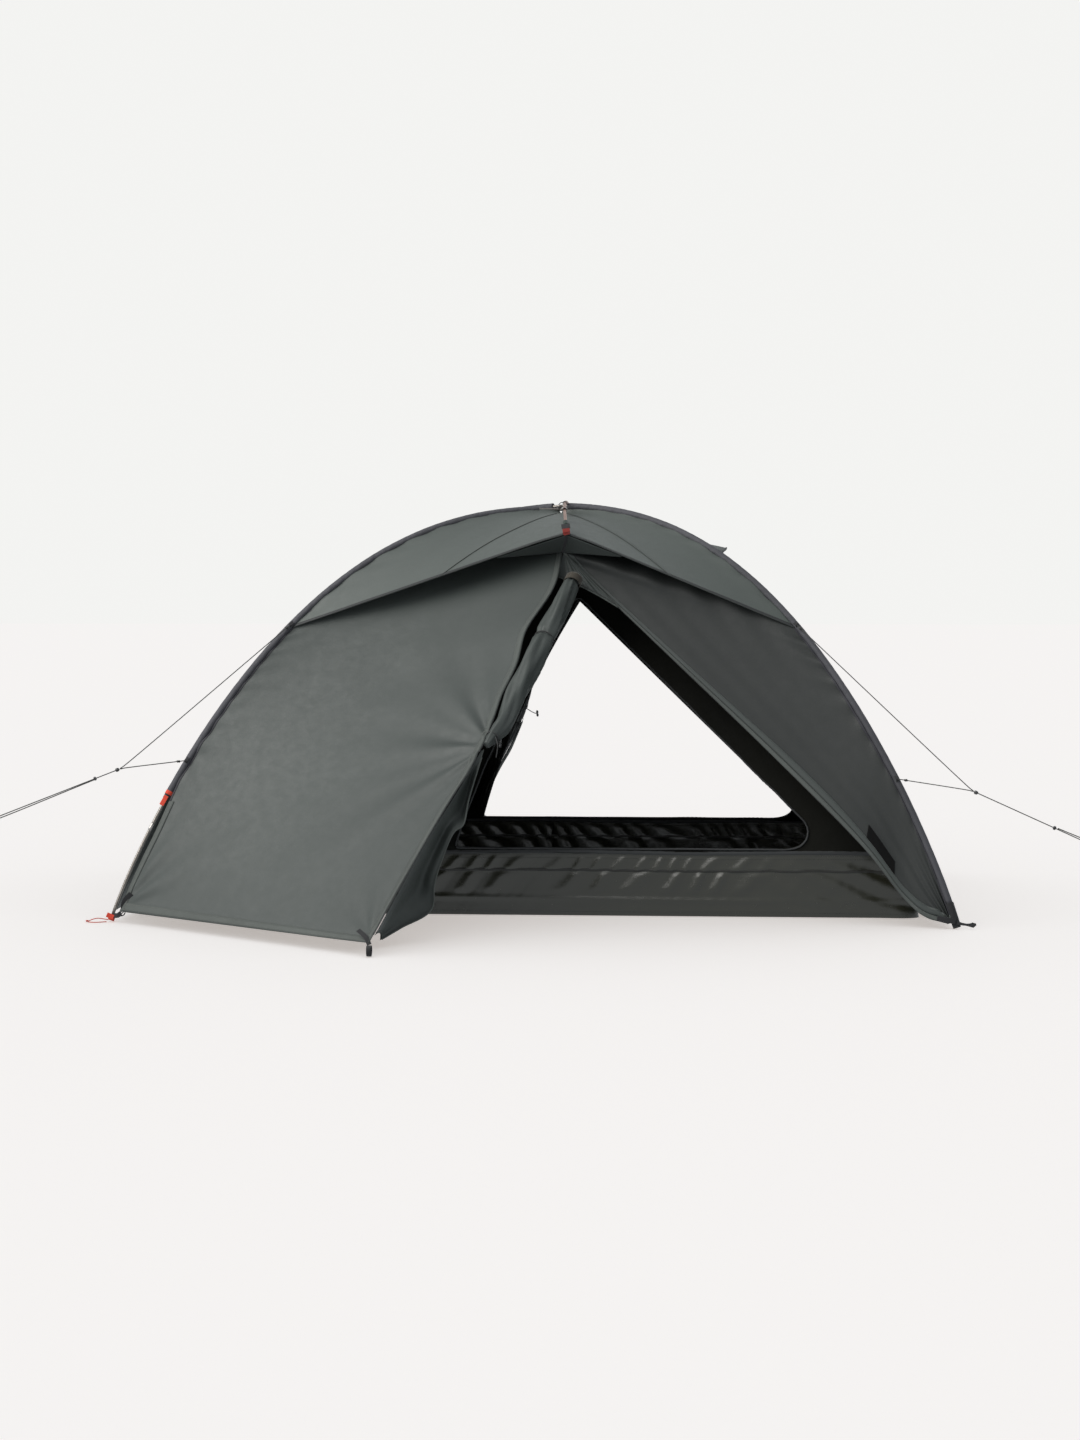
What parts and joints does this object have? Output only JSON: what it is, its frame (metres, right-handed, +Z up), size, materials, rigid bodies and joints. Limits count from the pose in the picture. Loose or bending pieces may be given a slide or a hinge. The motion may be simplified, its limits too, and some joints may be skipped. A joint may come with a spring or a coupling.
{
  "type": "dome tent",
  "caption": "Pitched dome tent with crossing poles, a brow pole, open vestibule doors, a hung inner tent with tub floor and taut guylines.",
  "frame": {"origin": "on the ground under the middle of the tub floor", "axes": "+X to the tent's right seen from the front door, +Y to the rear, +Z up"},
  "size_m": [2.8158, 2.4886, 1.1513],
  "materials": {
    "pole_grey": "grey anodised tube, satin",
    "pole_copper": "copper anodised tube, satin",
    "cap_rubber": "matt black-green moulded cap",
    "sleeve_fabric": "dark grey plain-weave sleeve",
    "red_webbing": "red woven webbing",
    "black_webbing": "black woven webbing",
    "fly_fabric": "grey-green coated ripstop, slight sheen",
    "black_plastic": "black moulded plastic",
    "tub_fabric": "black-olive coated fabric with a shine",
    "inner_fabric": "dark thin inner cloth and mesh",
    "guy_cord": "thin braided cord"
  },
  "bodies": {
    "tent": {"pole_left_front": "pole_grey", "pole_right_front": "pole_grey", "pole_left_rear": "pole_grey", "pole_right_rear": "pole_grey", "brow_pole": "pole_copper", "brow_cap_front": "cap_rubber", "brow_cap_rear": "cap_rubber", "pole_tip_left_front": "cap_rubber", "pole_tip_left_rear": "cap_rubber", "pole_tip_right_front": "cap_rubber", "pole_tip_right_rear": "cap_rubber", "sleeve_left_front": "sleeve_fabric", "sleeve_left_rear": "sleeve_fabric", "sleeve_right_front": "sleeve_fabric", "sleeve_right_rear": "sleeve_fabric", "foot_eye_left_front": "red_webbing", "foot_eye_left_rear": "red_webbing", "foot_pocket_right_front": "black_webbing", "foot_pocket_right_rear": "black_webbing", "peg_loop_front": "black_webbing", "peg_loop_rear": "black_webbing", "crown_patch": "fly_fabric", "brow_panel_front": "fly_fabric", "brow_panel_rear": "fly_fabric", "end_panel_left": "fly_fabric", "end_panel_right": "fly_fabric", "vestibule_panel_front": "fly_fabric", "vestibule_panel_rear": "fly_fabric", "door_side_panel_front": "fly_fabric", "door_side_panel_rear": "fly_fabric", "rolled_door_front": "fly_fabric", "rolled_door_rear": "fly_fabric", "corner_hook_left_front": "black_plastic", "corner_hook_left_rear": "black_plastic", "guy_cleat_left": "black_plastic", "guy_cleat_right": "black_plastic", "tub_floor": "tub_fabric", "inner_wall_front": "inner_fabric", "inner_wall_rear": "inner_fabric", "inner_end_left": "inner_fabric", "inner_end_right": "inner_fabric", "inner_door_front": "inner_fabric", "inner_door_rear": "inner_fabric", "guy_bridle_left": "guy_cord", "guy_line_left": "guy_cord", "guy_bridle_right": "guy_cord", "guy_line_right": "guy_cord"},
    "zip_front": {"fly_zip_slider_front": "black_plastic"},
    "zip_rear": {"fly_zip_slider_rear": "black_plastic"},
    "hood_left": {"vent_hood_left": "fly_fabric"},
    "hood_right": {"vent_hood_right": "fly_fabric"},
    "strut_left": {"vent_strut_left": "black_plastic"},
    "strut_right": {"vent_strut_right": "black_plastic"},
    "tab_front": {"pull_tab_left_front": "red_webbing"},
    "tab_rear": {"pull_tab_left_rear": "red_webbing"},
    "toggle_front": {"door_toggle_front": "black_plastic"},
    "toggle_rear": {"door_toggle_rear": "black_plastic"},
    "tensioner_left": {"guy_tensioner_left": "black_plastic"},
    "tensioner_right": {"guy_tensioner_right": "black_plastic"}
  },
  "joints": [
    {"name": "fly_zip_front", "type": "slide", "parent": "tent", "child": "zip_front", "axis": [0.7048, -0.2445, -0.666], "range_m": [0, 1.24]},
    {"name": "fly_zip_rear", "type": "slide", "parent": "tent", "child": "zip_rear", "axis": [0.7048, 0.2445, -0.666], "range_m": [0, 1.24]},
    {"name": "vent_hood_left_hinge", "type": "hinge", "parent": "tent", "child": "hood_left", "pos_m": [-0.3097, 0, 1.03656], "axis": [0, -1, 0], "range_deg": [0, 8]},
    {"name": "vent_strut_left_fold", "type": "hinge", "parent": "hood_left", "child": "strut_left", "pos_m": [-0.4497, 0, 1.00656], "axis": [0, -1, 0], "range_deg": [0, 24]},
    {"name": "vent_hood_right_hinge", "type": "hinge", "parent": "tent", "child": "hood_right", "pos_m": [0.37997, 0, 1.03656], "axis": [0, 1, 0], "range_deg": [0, 8]},
    {"name": "vent_strut_right_fold", "type": "hinge", "parent": "hood_right", "child": "strut_right", "pos_m": [0.51997, 0, 1.00656], "axis": [0, 1, 0], "range_deg": [0, 24]},
    {"name": "pull_tab_front_flap", "type": "hinge", "parent": "tent", "child": "tab_front", "pos_m": [-0.98975, -0.5821, 0.3355], "axis": [-0.8937, 0.124, 0.4311], "range_deg": [-5, 60]},
    {"name": "door_toggle_front_turn", "type": "hinge", "parent": "tent", "child": "toggle_front", "pos_m": [-0.068, -0.77, 0.493], "axis": [1, 0, 0], "range_deg": [-80, 80]},
    {"name": "pull_tab_rear_flap", "type": "hinge", "parent": "tent", "child": "tab_rear", "pos_m": [-0.98975, 0.5821, 0.3355], "axis": [0.8937, 0.124, -0.4311], "range_deg": [-5, 60]},
    {"name": "door_toggle_rear_turn", "type": "hinge", "parent": "tent", "child": "toggle_rear", "pos_m": [-0.068, 0.77, 0.493], "axis": [1, 0, 0], "range_deg": [-80, 80]},
    {"name": "guy_tensioner_left_slide", "type": "slide", "parent": "tent", "child": "tensioner_left", "axis": [-0.6877, -0.6692, -0.2815], "range_m": [-0.05, 0.25]},
    {"name": "guy_tensioner_right_slide", "type": "slide", "parent": "tent", "child": "tensioner_right", "axis": [0.7049, -0.6431, -0.2993], "range_m": [-0.2, 0.09]}
  ],
  "couplings": [
    {"joint": "vent_strut_left_fold", "follows": "vent_hood_left_hinge", "ratio": 3},
    {"joint": "vent_strut_right_fold", "follows": "vent_hood_right_hinge", "ratio": 3}
  ]
}
